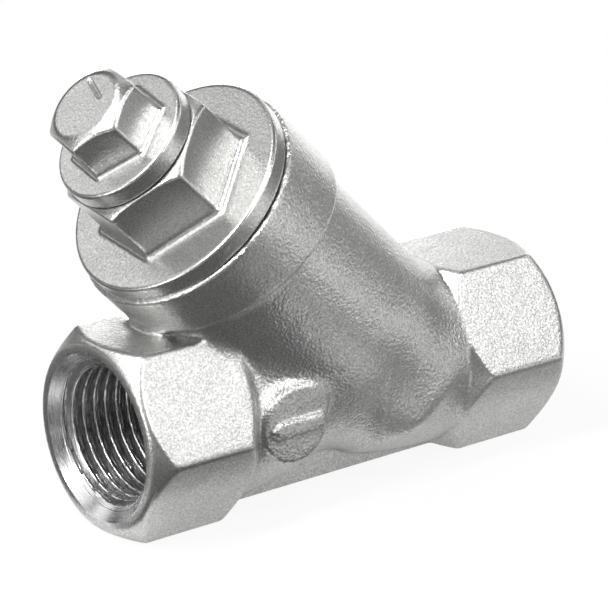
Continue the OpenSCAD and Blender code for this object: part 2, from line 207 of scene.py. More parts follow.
# The outside of neck, waist and inlet chamber as (x, radius), smoothed over 1.3 mm
RUN_PROFILE = np.array([
    (-19.0, 12.75), (-16.5, 12.68), (-14.7, 12.5), (-12.5, 12.3), (-9.3, 11.8), (-7.0, 11.2),
    (-5.4, 10.7), (-3.3, 9.9), (-1.4, 9.4), (0.5, 9.12), (2.0, 9.15), (2.8, 9.9), (3.6, 10.85),
    (4.9, 11.6), (8.2, 12.4), (11.6, 12.85), (15.0, 13.05), (19.0, 13.05)])
RUN_END = 19.0
RUN_X = np.linspace(-RUN_END, RUN_END, 381)
WINDOW = np.hanning(13)
RUN_R = np.convolve(np.pad(np.interp(RUN_X, *RUN_PROFILE.T), 6, mode="edge"),
                    WINDOW/WINDOW.sum(), mode="valid")
RUN_SLOPE = np.gradient(RUN_R, RUN_X)


def pipe_run(p):
    """The turned outside of neck, waist and inlet chamber."""
    radius = np.hypot(p[:, 1], p[:, 2])
    wall = np.interp(p[:, 0], RUN_X, RUN_R)
    slope = np.interp(p[:, 0], RUN_X, RUN_SLOPE)
    skin = (radius - wall)/np.sqrt(1.0 + slope**2)
    return np.maximum(skin, np.abs(p[:, 0]) - RUN_END)


def port_hexagon(p, end):
    """One port hexagon; end is -1 for the outlet and 1 for the inlet."""
    middle = end*(HALF_RUN - HEX_LEN/2)
    bar = hexagon(p[:, 1], p[:, 2], HEX_FLAT, 0.0, 0.42)
    from_end = HEX_LEN/2 - np.abs(p[:, 0] - middle)
    radius = np.hypot(p[:, 1], p[:, 2])
    cone = (radius - (HEX_CORNER - HEX_CHAMFER) - from_end)/math.sqrt(2.0)
    return blend_cut(blend_cut(bar, cone, 0.35), -from_end, 0.3)


def slanted_leg(p):
    """The leg with its collar, narrowing into the chamber below."""
    side, across, along = leg_axes(p)
    radius = np.hypot(side, across)
    half_y = LEG_FOOT_HALF_W + (LEG_R - LEG_FOOT_HALF_W)*smooth_step(along, -2.0, 15.0)
    stretch = np.sqrt((side/LEG_R)**2 + (across/half_y)**2) + 1e-9
    steep = np.sqrt((side/LEG_R**2)**2 + (across/half_y**2)**2)/stretch
    tube = (stretch - 1.0)/np.maximum(steep, 1e-6)
    nose = -0.499*(p[:, 0] - 8.5) - 0.867*(p[:, 2] + 12.9)
    tube = blend_cut(tube, nose, 3.0)
    tube = blend_cut(tube, -1.5 - along, 2.0)
    tube = np.maximum(tube, along - (RIM_S - 0.5))
    shoulder = SHOULDER_S*math.cos(SHOULDER_TILT) - (
        side*math.sin(SHOULDER_TILT) + along*math.cos(SHOULDER_TILT))
    collar = blend_cut(radius - COLLAR_R, shoulder, 0.7)
    collar = blend_cut(collar, along - RIM_S, 0.25)
    inward = 0.5 - 0.5*side/np.maximum(radius, 1.0)
    return blend_union(tube, collar, 0.25 + 3.2*inward**2)


def rib(p):
    deep = np.maximum(-AXIS_Z - p[:, 2], p[:, 2] - RIB_TOP_Z)
    wide = np.abs(p[:, 1]) - RIB_HALF_W
    long = np.abs(p[:, 0]) - RIB_END_X
    return blend_cut(np.maximum(deep, long), wide, 0.4)


def side_boss(p):
    x, out, z = p[:, 0] - BOSS_X, -p[:, 1], p[:, 2]
    disc = blend_cut(np.hypot(x, z) - BOSS_R, out - BOSS_OUT, 0.35)
    return np.maximum(disc, 4.0 - out)


def direction_bar(p):
    """The plain raised bar on the boss, its point towards the outlet."""
    x, out, z = p[:, 0] - BOSS_X, -p[:, 1], np.abs(p[:, 2])
    point = (z*BAR_TIP - (x + BAR_HALF_LEN)*BAR_HALF_W)/math.hypot(BAR_TIP, BAR_HALF_W)
    flat = blend_cut(blend_cut(z - BAR_HALF_W, x - BAR_HALF_LEN, 0.5), point, 0.3)
    return np.maximum(blend_cut(flat, out - BAR_OUT, 0.55), 11.0 - out)


def casting_field(p):
    """Distance to the outside of the cast body; points are centred on the pipe's axis."""
    run = pipe_run(p)
    leg = slanted_leg(p)
    under = smooth_step(p[:, 0], 3.0, 10.0)*smooth_step(-p[:, 2], -3.0, 5.0)
    body = blend_union(run, leg, 4.0 + 3.5*under)
    body = blend_union(body, rib(p), 0.9)
    ports = np.minimum(port_hexagon(p, -1), port_hexagon(p, 1))
    lift = smooth_step(p[:, 2], -4.0, 8.0)*smooth_step(-p[:, 0], 8.0, 20.0)
    inlet_side = smooth_step(p[:, 0], 0.0, 8.0)
    body = blend_union(body, ports, 0.35 - 0.15*inlet_side + 1.5*lift)
    upper = smooth_step(p[:, 2], -2.0, 5.0)
    body = blend_union(body, side_boss(p), 0.5 + 2.0*upper)
    body = blend_union(body, direction_bar(p), 0.35)
    return np.maximum(body, -AXIS_Z - p[:, 2])


def corner_cone(radius, top_r, below):
    """The cone that takes the corners off a wrench hexagon's end."""
    return (radius - top_r - below*CONE_SLOPE)/math.hypot(1.0, CONE_SLOPE)


def cap_field(p):
    """Distance to the outside of the cap's flange and hexagon, in the leg's own frame."""
    radius = np.hypot(p[:, 0], p[:, 1])
    flange = blend_cut(radius - FLANGE_R, p[:, 2] - CAP_FACE_S, 0.6)
    flange = blend_cut(flange, FLANGE_S - p[:, 2], 0.4)
    bar = hexagon(p[:, 0], p[:, 1], CAP_FLAT, CAP_TURN, 0.45)
    cone = corner_cone(radius, CAP_CONE_R, CAP_TOP_S - p[:, 2])
    head = blend_cut(blend_cut(bar, cone, 0.3), p[:, 2] - CAP_TOP_S, 0.3)
    head = np.maximum(head, FLANGE_S + 1.0 - p[:, 2])
    return blend_union(flange, head, 1.5)


def plug_field(p):
    """Distance to the outside of the drain plug's collar and hexagon, in the leg's own frame."""
    radius = np.hypot(p[:, 0], p[:, 1])
    collar = blend_cut(radius - PLUG_COLLAR_R, p[:, 2] - PLUG_FACE_S, 0.6)
    collar = blend_cut(collar, COLLAR_S - p[:, 2], 0.35)
    bar = hexagon(p[:, 0], p[:, 1], PLUG_FLAT, PLUG_TURN, 0.4)
    cone = corner_cone(radius, PLUG_CONE_R, PLUG_END_S - p[:, 2])
    head = blend_cut(blend_cut(bar, cone, 0.35), p[:, 2] - PLUG_END_S, 0.35)
    head = np.maximum(head, COLLAR_S + 1.0 - p[:, 2])
    solid = blend_union(collar, head, 1.1)
    line = MARK_TO - MARK_FROM
    t = np.clip(((p[:, :2] - MARK_FROM) @ line)/(line @ line), 0.0, 1.0)
    off = p[:, :2] - MARK_FROM - t[:, None]*line
    groove = np.sqrt((off**2).sum(1) + (p[:, 2] - PLUG_END_S)**2) - MARK_R
    return blend_cut(solid, -groove, 0.12)


# Meshes from fields
CORNERS = [(i, j, k) for i in (0, 1) for j in (0, 1) for k in (0, 1)]
EDGES = [(a, b) for a in range(8) for b in range(a + 1, 8)
         if sum(abs(CORNERS[a][c] - CORNERS[b][c]) for c in range(3)) == 1]


def sample_field(field, low, counts, cell):
    """Field values on a grid; blocks that lie far from the surface get one value each."""
    block = 4
    blocks = -(-counts // block)
    padded = blocks*block
    values = np.empty(padded, np.float32)
    index = np.indices(blocks).reshape(3, -1).T
    centres = low + cell*(index*block + (block - 1)/2)
    coarse = field(centres)
    reach = cell*block*0.95
    view = values.reshape(blocks[0], block, blocks[1], block, blocks[2], block)
    view[:] = coarse.reshape(blocks)[:, None, :, None, :, None]
    near = index[np.abs(coarse) < reach]
    offsets = np.indices((block, block, block)).reshape(3, -1).T
    for start in range(0, len(near), 6000):
        part = near[start:start + 6000]
        cells = (part[:, None, :]*block + offsets[None]).reshape(-1, 3)
        values[tuple(cells.T)] = field(low + cell*cells)
    return values[:counts[0], :counts[1], :counts[2]]


def project(field, points, rounds=3):
    """Slides points onto the surface, along the field's slope."""
    step = 0.01
    for _ in range(rounds):
        here = field(points)
        slope = np.stack([(field(points + step*axis) - field(points - step*axis))/(2*step)
                          for axis in np.eye(3)], 1)
        points = points - (here/np.maximum((slope**2).sum(1), 0.05))[:, None]*slope
    return points


def net_surface(field, low, high, cell):
    """A closed mesh of quads on a field's surface, its corners relaxed and set on it."""
    low, high = np.array(low, float), np.array(high, float)
    counts = np.ceil((high - low)/cell).astype(int) + 1
    values = sample_field(field, low, counts, cell)
    inside = values < 0
    n = np.array(inside.shape) - 1
    corners = [inside[i:i + n[0], j:j + n[1], k:k + n[2]] for i, j, k in CORNERS]
    total = sum(c.astype(np.int8) for c in corners)
    active = (total > 0) & (total < 8)
    index = np.full(active.shape, -1, np.int64)
    base = np.argwhere(active)
    index[tuple(base.T)] = np.arange(len(base))
    at = np.stack([values[tuple((base + c).T)] for c in CORNERS], 1).astype(float)
    place, hits = np.zeros((len(base), 3)), np.zeros(len(base))
    for a, b in EDGES:
        crossed = (at[:, a] < 0) != (at[:, b] < 0)
        t = (at[crossed, a]/(at[crossed, a] - at[crossed, b]))[:, None]
        place[crossed] += np.array(CORNERS[a])*(1 - t) + np.array(CORNERS[b])*t
        hits[crossed] += 1
    points = low + cell*(base + place/hits[:, None])
    quads = []
    for axis in range(3):
        u, v = (axis + 1) % 3, (axis + 2) % 3
        first = np.take(inside, range(inside.shape[axis] - 1), axis)
        second = np.take(inside, range(1, inside.shape[axis]), axis)
        spots = np.argwhere(first != second)
        keep = (spots[:, u] > 0) & (spots[:, v] > 0)
        keep &= (spots[:, u] < n[u]) & (spots[:, v] < n[v])
        spots = spots[keep]
        leaving = first[tuple(spots.T)]
        ring = []
        for du, dv in ((1, 1), (0, 1), (0, 0), (1, 0)):
            cell_at = spots.copy()
            cell_at[:, u] -= du
            cell_at[:, v] -= dv
            ring.append(index[tuple(cell_at.T)])
        ring = np.stack(ring, 1)
        ring[~leaving] = ring[~leaving][:, ::-1]
        quads.append(ring)
    quads = np.concatenate(quads)
    points = project(field, points, 2)
    for _ in range(2):
        near, count = np.zeros_like(points), np.zeros(len(points))
        for a, b in ((0, 1), (1, 2), (2, 3), (3, 0)):
            for i, j in ((a, b), (b, a)):
                np.add.at(near, quads[:, i], points[quads[:, j]])
                np.add.at(count, quads[:, i], 1)
        points = points + 0.5*(near/count[:, None] - points)
        points = project(field, points, 2)
    return points, quads


def piece_from(name, points, faces, turned=None):
    """A new mesh object from points in millimetres, set in the row frame in metres."""
    points = np.asarray(points, float)
    if turned == "leg":
        points = (points[:, :1]*LEG_SIDE + points[:, 1:2]*np.array([0.0, 1.0, 0.0])
                  + points[:, 2:3]*LEG_OUT + np.array([LEG_X, 0.0, AXIS_Z]))
    elif turned == "run":
        points = points + np.array([0.0, 0.0, AXIS_Z])
    mesh = bpy.data.meshes.new(name)
    mesh.from_pydata((points*MM).tolist(), [], [list(map(int, f)) for f in faces])
    mesh.update()
    obj = bpy.data.objects.new(name, mesh)
    bpy.context.scene.collection.objects.link(obj)
    return obj


def turned_points(profile, segments):
    """Rows of points round the z axis, one row for each (radius, height) pair."""
    profile = np.array(profile, float)
    angles = 2*math.pi*np.arange(segments)/segments
    return np.stack([np.outer(profile[:, 0], np.cos(angles)),
                     np.outer(profile[:, 0], np.sin(angles)),
                     np.repeat(profile[:, 1:2], segments, 1)], -1).reshape(-1, 3)


def row_quads(bands, rows, segments):
    """Quads between each row of points and the next, for this many bands."""
    faces = []
    for row in range(bands):
        nxt = (row + 1) % rows
        for k in range(segments):
            m = (k + 1) % segments
            faces.append((row*segments + k, row*segments + m, nxt*segments + m, nxt*segments + k))
    return faces


def outward_piece(name, points, faces, turned):
    obj = piece_from(name, points, faces, turned)
    face_outwards(obj)
    return obj


def lathe(name, profile, segments=128, turned=None):
    """A closed turned solid from a ring-shaped profile of (radius, height) pairs."""
    points = turned_points(profile, segments)
    return ring_piece(name, points, len(profile), segments, turned)


def ring_piece(name, points, rows, segments, turned):
    """Rows of points that run round an axis; the last row joins the first."""
    return outward_piece(name, points, row_quads(rows, rows, segments), turned)


def solid_lathe(name, profile, segments=128, turned=None):
    """A turned solid whose profile starts and ends on the axis, closed with two caps."""
    rows = len(profile) - 2
    caps = [tuple(range(segments)), tuple((rows - 1)*segments + k for k in range(segments))]
    return outward_piece(name, turned_points(profile[1:-1], segments),
                         caps + row_quads(rows - 1, rows, segments), turned)


def face_outwards(obj):
    mesh = bmesh.new()
    mesh.from_mesh(obj.data)
    bmesh.ops.remove_doubles(mesh, verts=mesh.verts, dist=1e-7)
    bmesh.ops.recalc_face_normals(mesh, faces=mesh.faces)
    if mesh.calc_volume(signed=True) < 0:
        bmesh.ops.reverse_faces(mesh, faces=mesh.faces)
    mesh.to_mesh(obj.data)
    mesh.free()


def carve(obj, cutters):
    """Takes the cutters out of a piece and removes them."""
    for cutter in cutters:
        join_in(obj, cutter, "DIFFERENCE")


def join_in(obj, other, how="UNION"):
    """Joins, cuts or intersects a piece with another, which is then removed."""
    modifier = obj.modifiers.new("boolean", "BOOLEAN")
    modifier.operation = how
    modifier.solver = "MANIFOLD"
    modifier.object = other
    swap_mesh(obj)
    drop(other)


def swap_mesh(obj):
    """Replaces a piece's mesh by what its modifiers make of it, and clears them."""
    bpy.context.view_layer.update()
    graph = bpy.context.evaluated_depsgraph_get()
    made = bpy.data.meshes.new_from_object(obj.evaluated_get(graph))
    old = obj.data
    obj.modifiers.clear()
    made.name = old.name
    obj.data = made
    bpy.data.meshes.remove(old)


def drop(obj):
    mesh = obj.data
    bpy.data.objects.remove(obj)
    if mesh.users == 0:
        bpy.data.meshes.remove(mesh)


def shade(obj, edge_degrees=32.0):
    """Smooth shading that stays crisp at machined edges."""
    obj.data.polygons.foreach_set("use_smooth", [True]*len(obj.data.polygons))
    obj.data.set_sharp_from_angle(angle=math.radians(edge_degrees))
    obj.data.update()


def finish_piece(obj, material, body, slot, *nodes):
    """Material and body of a piece, and the CAD nodes that it stands for; the slot argument is
    not used.
    """
    if len(obj.data.polygons) < 4:
        raise RuntimeError(f"{obj.name} came out empty")
    obj.data.materials.clear()
    obj.data.materials.append(material)
    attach(obj, body)
    if nodes:
        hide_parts(*nodes)
    return obj


# Threads
def thread_tooth(turns, crest=0.16, root=0.24):
    """Height, 0 to 1, of a thread's tooth over one turn, with rounded crest and root."""
    t = np.abs((turns % 1.0) - 0.5)*2.0
    rise = np.clip((t - root)/(1.0 - crest - root), 0.0, 1.0)
    return 1.0 - rise*rise*(3 - 2*rise)*0.35 - rise*0.65


def port_thread(name, end):
    """The tapped wall of one port, cut by the cone of its mouth."""
    props = bpy.context.scene.valve_sizes
    pitch, segments, rows = props.port_pitch, 160, 150
    depth = np.linspace(MOUTH_DEPTH - 0.02, THREAD_END - 0.1, rows)
    angle = 2*math.pi*np.arange(segments)/segments
    tooth = thread_tooth(depth[:, None]/pitch + angle[None]/(2*math.pi))
    fade = smooth_step(depth, THREAD_END, THREAD_END - RUN_OUT)[:, None]
    inner = THREAD_MAJOR_R - (THREAD_MAJOR_R - THREAD_MINOR_R)*tooth*fade
    inner = np.maximum(inner, (MOUTH_R - depth)[:, None])
    inner = np.minimum(inner, THREAD_MAJOR_R + 0.01)
    outer = np.full((2, segments), THREAD_MAJOR_R + 0.03)
    radius = np.concatenate([inner, outer])
    along = np.concatenate([np.repeat(depth[:, None], segments, 1),
                            np.repeat(np.array([[depth[-1]], [depth[0]]]), segments, 1)])
    x = end*(HALF_RUN - along)
    points = np.stack([x, radius*np.cos(angle)*-end, radius*np.sin(angle)], -1).reshape(-1, 3)
    return ring_piece(name, points, rows + 2, segments, "run")


def threaded_shank(name, low, high, major, minor, pitch, hollow, lead):
    """A threaded spigot or shank: its outside turns, its inside is a plain profile."""
    segments = 120
    rows = int((high - low)/pitch*ROWS_PER_TURN)
    along = np.linspace(low, high, rows)
    angle = 2*math.pi*np.arange(segments)/segments
    tooth = thread_tooth(along[:, None]/pitch - angle[None]/(2*math.pi))
    neck = smooth_step(along, high - 0.6, high - 1.4)[:, None]
    radius = minor + (major - minor)*tooth*neck
    start = (major - lead + (along - low))[:, None]
    radius = np.minimum(radius, start)
    hollow = np.array(hollow, float)
    radius = np.concatenate([radius, np.repeat(hollow[:, :1], segments, 1)])
    height = np.concatenate([np.repeat(along[:, None], segments, 1),
                             np.repeat(hollow[:, 1:2], segments, 1)])
    points = np.stack([radius*np.cos(angle), radius*np.sin(angle), height], -1).reshape(-1, 3)
    return ring_piece(name, points, rows + len(hollow), segments, "leg")


# Node trees
LEG_FRAME = Matrix((
    (LEG_SIDE[0], 0.0, LEG_OUT[0], LEG_X*MM),
    (0.0, 1.0, 0.0, 0.0),
    (LEG_SIDE[2], 0.0, LEG_OUT[2], AXIS_Z*MM),
    (0.0, 0.0, 0.0, 1.0)))


def feed(tree, pairs):
    """Links each socket to its source, or sets it to its plain value."""
    for socket, value in pairs:
        if isinstance(value, bpy.types.NodeSocket):
            tree.links.new(value, socket)
        else:
            socket.default_value = value


def add_node(tree, kind, inputs, **settings):
    """A node of this kind with its settings, and its named inputs set or linked."""
    node = tree.nodes.new(kind)
    for label, value in settings.items():
        setattr(node, label, value)
    feed(tree, [(node.inputs[label], value) for label, value in inputs.items()])
    return node


def number(tree, operation, *values):
    """A Math node fed by sockets or plain numbers."""
    node = tree.nodes.new("ShaderNodeMath")
    node.operation = operation
    feed(tree, zip(node.inputs, values))
    return node.outputs["Value"]


def point_at(tree, x, y, z):
    node = tree.nodes.new("ShaderNodeCombineXYZ")
    feed(tree, zip(node.inputs, (x, y, z)))
    return node.outputs["Vector"]


def start_tree(name, sizes):
    """A Geometry Nodes tree with one geometry in and out, and a named input for each size."""
    tree = bpy.data.node_groups.new(name, "GeometryNodeTree")
    tree.interface.new_socket("Geometry", in_out="INPUT", socket_type="NodeSocketGeometry")
    for label, kind in sizes:
        tree.interface.new_socket(label, in_out="INPUT", socket_type="NodeSocket" + kind)
    tree.interface.new_socket("Geometry", in_out="OUTPUT", socket_type="NodeSocketGeometry")
    return tree, tree.nodes.new("NodeGroupInput").outputs


def end_tree(tree, geometry, material):
    """Closes a tree with real geometry in one material."""
    real = add_node(tree, "GeometryNodeRealizeInstances", {"Geometry": geometry})
    paint = add_node(tree, "GeometryNodeSetMaterial", {
        "Geometry": real.outputs["Geometry"], "Material": material})
    add_node(tree, "NodeGroupOutput", {"Geometry": paint.outputs["Geometry"]})


def run_tree(obj, tree, values):
    """Runs a tree on a piece with these sizes and keeps the plain mesh that it makes."""
    modifier = obj.modifiers.new(tree.name, "NODES")
    modifier.node_group = tree
    for item in tree.interface.items_tree:
        if item.in_out == "INPUT" and item.name in values:
            modifier[item.identifier] = values[item.name]
    swap_mesh(obj)
    obj.data.transform(LEG_FRAME)
    if not obj.data.polygons:
        raise RuntimeError(f"{obj.name} came out empty")


def spring_tree():
    """A round wire wound on a helix whose first and last turns lie closed."""
    tree, size = start_tree("spring coil", [
        ("Coil Radius", "Float"), ("Wire Radius", "Float"), ("Length", "Float"),
        ("Open Turns", "Int"), ("Steps", "Int"), ("Material", "Material")])
    plus, less, times, over, least, most = (partial(number, tree, operation) for operation in (
        "ADD", "SUBTRACT", "MULTIPLY", "DIVIDE", "MINIMUM", "MAXIMUM"))
    coil_r, wire_r, turns = size["Coil Radius"], size["Wire Radius"], size["Open Turns"]
    line = tree.nodes.new("GeometryNodeCurvePrimitiveLine")
    path = add_node(tree, "GeometryNodeResampleCurve", {
        "Curve": line.outputs["Curve"],
        "Count": plus(times(plus(turns, 2.0), size["Steps"]), 1.0)})
    index = tree.nodes.new("GeometryNodeInputIndex").outputs["Index"]
    turn = over(index, size["Steps"])
    angle = times(turn, 2.0*math.pi)
    shut = times(wire_r, 2.0*CLOSED_PITCH)
    room = less(size["Length"], plus(times(wire_r, 2.0), times(shut, 2.0)))
    pitch = over(room, turns)
    middle = least(most(less(turn, 1.0), 0.0), turns)
    closed = times(plus(least(turn, 1.0), most(less(turn, plus(turns, 1.0)), 0.0)), shut)
    height = plus(plus(closed, wire_r), times(middle, pitch))
    place = add_node(tree, "GeometryNodeSetPosition", {
        "Geometry": path.outputs["Curve"],
        "Position": point_at(tree, times(coil_r, number(tree, "COSINE", angle)),
                             times(coil_r, number(tree, "SINE", angle)), height)})
    wire = add_node(tree, "GeometryNodeCurvePrimitiveCircle", {
        "Resolution": WIRE_SIDES, "Radius": wire_r})
    sweep = add_node(tree, "GeometryNodeCurveToMesh", {
        "Curve": place.outputs["Geometry"], "Profile Curve": wire.outputs["Curve"],
        "Fill Caps": True})
    end_tree(tree, sweep.outputs["Mesh"], size["Material"])
    return tree


def perforation_tree():
    """Round holes in staggered rows through a tube that stands on the z axis."""
    tree, size = start_tree("screen holes", [
        ("Radius", "Float"), ("Hole Radius", "Float"), ("First Row", "Float"),
        ("Last Row", "Float"), ("Holes Round", "Int"), ("Rows", "Int"),
        ("Material", "Material")])
    plus, less, times, over = (partial(number, tree, operation) for operation in (
        "ADD", "SUBTRACT", "MULTIPLY", "DIVIDE"))
    around, rows = size["Holes Round"], size["Rows"]
    points = add_node(tree, "GeometryNodePoints", {"Count": times(around, rows)})
    index = tree.nodes.new("GeometryNodeInputIndex").outputs["Index"]
    row = number(tree, "FLOOR", over(plus(index, 0.5), around))
    column = less(index, times(row, around))
    shift = times(number(tree, "MODULO", row, 2.0), 0.5)
    angle = times(over(plus(column, shift), around), 2.0*math.pi)
    gap = over(less(size["Last Row"], size["First Row"]), less(rows, 1.0))
    across, along = number(tree, "COSINE", angle), number(tree, "SINE", angle)
    place = add_node(tree, "GeometryNodeSetPosition", {
        "Geometry": points.outputs["Points"],
        "Position": point_at(tree, times(size["Radius"], across), times(size["Radius"], along),
                             plus(size["First Row"], times(row, gap)))})
    outward = add_node(tree, "FunctionNodeAlignRotationToVector", {
        "Vector": point_at(tree, across, along, 0.0)}, axis="Z")
    punch = add_node(tree, "GeometryNodeMeshCylinder", {
        "Vertices": HOLE_SIDES, "Depth": PUNCH_LEN*MM, "Radius": size["Hole Radius"]})
    copies = add_node(tree, "GeometryNodeInstanceOnPoints", {
        "Points": place.outputs["Geometry"], "Instance": punch.outputs["Mesh"],
        "Rotation": outward.outputs["Rotation"]})
    punches = add_node(tree, "GeometryNodeRealizeInstances", {
        "Geometry": copies.outputs["Instances"]})
    cut = add_node(tree, "GeometryNodeMeshBoolean", {
        "Mesh 1": size["Geometry"], "Mesh 2": punches.outputs["Geometry"]},
        operation="DIFFERENCE", solver="MANIFOLD")
    end_tree(tree, cut.outputs["Mesh"], size["Material"])
    return tree


# Finishes
def new_material(name):
    material = bpy.data.materials.new(name)
    material.use_nodes = True
    tree = material.node_tree
    tree.nodes.clear()
    output = tree.nodes.new("ShaderNodeOutputMaterial")
    shader = tree.nodes.new("ShaderNodeBsdfPrincipled")
    tree.links.new(shader.outputs["BSDF"], output.inputs["Surface"])
    place = tree.nodes.new("ShaderNodeTexCoord").outputs["Object"]
    return material, tree, shader, place


def noise(tree, place, per_mm, detail=2.0, rough=0.5, stretch=None):
    """Noise whose grains come this many to the millimetre."""
    if stretch:
        place = add_node(tree, "ShaderNodeMapping", {
            "Scale": stretch, "Vector": place}).outputs["Vector"]
    return add_node(tree, "ShaderNodeTexNoise", {
        "Scale": per_mm/MM, "Detail": detail, "Roughness": rough,
        "Vector": place}).outputs["Fac"]


def spread(tree, value, low, high, to_low, to_high):
    return add_node(tree, "ShaderNodeMapRange", {
        "From Min": low, "From Max": high, "To Min": to_low, "To Max": to_high,
        "Value": value}).outputs["Result"]


def tint(tree, value, dark, light):
    return add_node(tree, "ShaderNodeMix", {
        "A": (*dark, 1.0), "B": (*light, 1.0), "Factor": value},
        data_type="RGBA").outputs["Result"]


def add_bump(tree, height, distance, strength, below=None):
    inputs = {"Distance": distance*MM, "Strength": strength, "Height": height}
    if below is not None:
        inputs["Normal"] = below
    return add_node(tree, "ShaderNodeBump", inputs).outputs["Normal"]


def blasted_casting(name, grain, depth, tone, smooth, rough, dressed=1.0):
    """Blasted investment casting: a fine speckle over rounded grain, uneven in tone.

    The grain is flatter by the share dressed on the hexagons, whose flats are dressed.
    """
    material, tree, shader, place = new_material(name)
    axes = tree.nodes.new("ShaderNodeSeparateXYZ")
    tree.links.new(place, axes.inputs["Vector"])
    outward = number(tree, "ABSOLUTE", axes.outputs["X"])
    share = spread(tree, outward, 17.0*MM, 19.5*MM, 1.0, dressed)
    peel = noise(tree, place, grain, 1.0, 0.4)
    speck = noise(tree, place, grain*1.5, 2.0, 0.7)
    wave = noise(tree, place, grain*0.12, 2.0, 0.5)
    cloud = noise(tree, place, 0.11, 4.0, 0.55)
    shader.inputs["Metallic"].default_value = 1.0
    shade_of = spread(tree, speck, 0.32, 0.68, 0.0, 1.0)
    colour = tint(tree, shade_of, [c*0.68 for c in tone], [min(1.0, c*1.22) for c in tone])
    patch = spread(tree, cloud, 0.3, 0.7, 0.93, 1.03)
    mixed = tree.nodes.new("ShaderNodeVectorMath")
    mixed.operation = "SCALE"
    tree.links.new(colour, mixed.inputs[0])
    tree.links.new(patch, mixed.inputs["Scale"])
    tree.links.new(mixed.outputs["Vector"], shader.inputs["Base Color"])
    tree.links.new(spread(tree, speck, 0.3, 0.7, rough, smooth), shader.inputs["Roughness"])
    lumps = add_bump(tree, wave, depth*3.0, number(tree, "MULTIPLY", share, 0.5))
    tree.links.new(add_bump(tree, peel, depth, share, lumps), shader.inputs["Normal"])
    return material


def turned_steel(name, tone, rough, stretch):
    """Machined steel with fine tool lines round its axis."""
    material, tree, shader, place = new_material(name)
    lines = noise(tree, place, 9.0, 2.0, 0.6, stretch)
    cloud = noise(tree, place, 0.6, 3.0, 0.5)
    shader.inputs["Metallic"].default_value = 1.0
    tree.links.new(tint(tree, spread(tree, cloud, 0.3, 0.7, 0.0, 1.0),
                        [c*0.92 for c in tone], tone), shader.inputs["Base Color"])
    tree.links.new(spread(tree, lines, 0.3, 0.7, rough*0.8, rough*1.25),
                   shader.inputs["Roughness"])
    tree.links.new(add_bump(tree, lines, 0.02, 0.8), shader.inputs["Normal"])
    return material


def soft_material(name, tone, rough, grain):
    """Matte plastic or rubber with a fine skin."""
    material, tree, shader, place = new_material(name)
    skin = noise(tree, place, grain, 3.0, 0.6)
    tree.links.new(tint(tree, spread(tree, skin, 0.3, 0.7, 0.0, 1.0),
                        [c*0.9 for c in tone], tone), shader.inputs["Base Color"])
    tree.links.new(spread(tree, skin, 0.3, 0.7, rough*0.9, min(1.0, rough*1.1)),
                   shader.inputs["Roughness"])
    tree.links.new(add_bump(tree, skin, 0.03, 0.5), shader.inputs["Normal"])
    return material


def finishes():
    """The valve's materials, made once."""
    made = bpy.data.materials
    if "cast steel" not in made:
        props = bpy.context.scene.valve_sizes
        cast = tuple(props.cast_tone)
        bright = tuple(props.bright_tone)
        blasted_casting("cast steel", props.grain, 0.11, cast, 0.32, 0.44, 0.45)
        blasted_casting("cap steel", props.grain, 0.035, cast, 0.27, 0.37)
        turned_steel("port steel", bright, 0.26, (1.0, 0.05, 0.05))
        turned_steel("bright steel", bright, 0.26, (1.0, 0.3, 1.0))
        turned_steel("spring steel", tuple(c*0.8 for c in bright), 0.22, (1.0, 1.0, 1.0))
        soft_material("gasket sheet", tuple(props.gasket_tone), 0.6, 2.0)
        soft_material("seal rubber", tuple(props.seal_tone), 0.7, 3.0)
    return made


# Settings
class ValveSizes(bpy.types.PropertyGroup):
    """Sizes and colours that a user would change."""
    casting_cell: FloatProperty(
        name="Casting mesh size", description="Edge length of the casting's mesh, in millimetres",
        default=0.42, min=0.25, max=2.0)
    cap_cell: FloatProperty(
        name="Cap mesh size", description="Edge length of the cap's mesh, in millimetres",
        default=0.24, min=0.2, max=2.0)
    plug_cell: FloatProperty(
        name="Plug mesh size", description="Edge length of the plug's mesh, in millimetres",
        default=0.17, min=0.15, max=2.0)
    port_pitch: FloatProperty(
        name="Port thread pitch", description="Pitch of both ports' threads, in millimetres",
        default=1.814, min=1.0, max=3.0)
    cap_pitch: FloatProperty(
        name="Cap thread pitch", description="Pitch of the cap's thread, in millimetres",
        default=1.5, min=0.5, max=3.0)
    plug_pitch: FloatProperty(
        name="Plug thread pitch", description="Pitch of the plug's thread, in millimetres",
        default=1.337, min=0.5, max=3.0)
    spring_turns: IntProperty(
        name="Open spring turns", description="Turns of the spring between its closed ends",
        default=7, min=3, max=12)
    holes_round: IntProperty(
        name="Holes round", description="Holes in one row round the strainer screen",
        default=28, min=8, max=40)
    hole_rows: IntProperty(
        name="Hole rows", description="Rows of holes along the strainer screen",
        default=14, min=4, max=20)
    hole_radius: FloatProperty(
        name="Hole radius", description="Radius of the strainer screen's holes, in millimetres",
        default=0.6, min=0.3, max=1.0)
    grain: FloatProperty(
        name="Casting grain", description="Grains of the blasted surface per millimetre",
        default=2.4, min=0.5, max=10.0)
    cast_tone: FloatVectorProperty(
        name="Cast steel", description="Colour of the blasted casting",
        subtype="COLOR", size=3, default=(0.62, 0.62, 0.61), min=0.0, max=1.0)
    bright_tone: FloatVectorProperty(
        name="Bright steel", description="Colour of the machined steel",
        subtype="COLOR", size=3, default=(0.7, 0.7, 0.7), min=0.0, max=1.0)
    gasket_tone: FloatVectorProperty(
        name="Gaskets", description="Colour of both gaskets",
        subtype="COLOR", size=3, default=(0.75, 0.74, 0.7), min=0.0, max=1.0)
    seal_tone: FloatVectorProperty(
        name="Seal", description="Colour of the disc's soft seal",
        subtype="COLOR", size=3, default=(0.03, 0.03, 0.03), min=0.0, max=1.0)
    light_level: FloatProperty(
        name="Light level", description="Level of all lamps together",
        default=1.0, min=0.0, max=10.0)


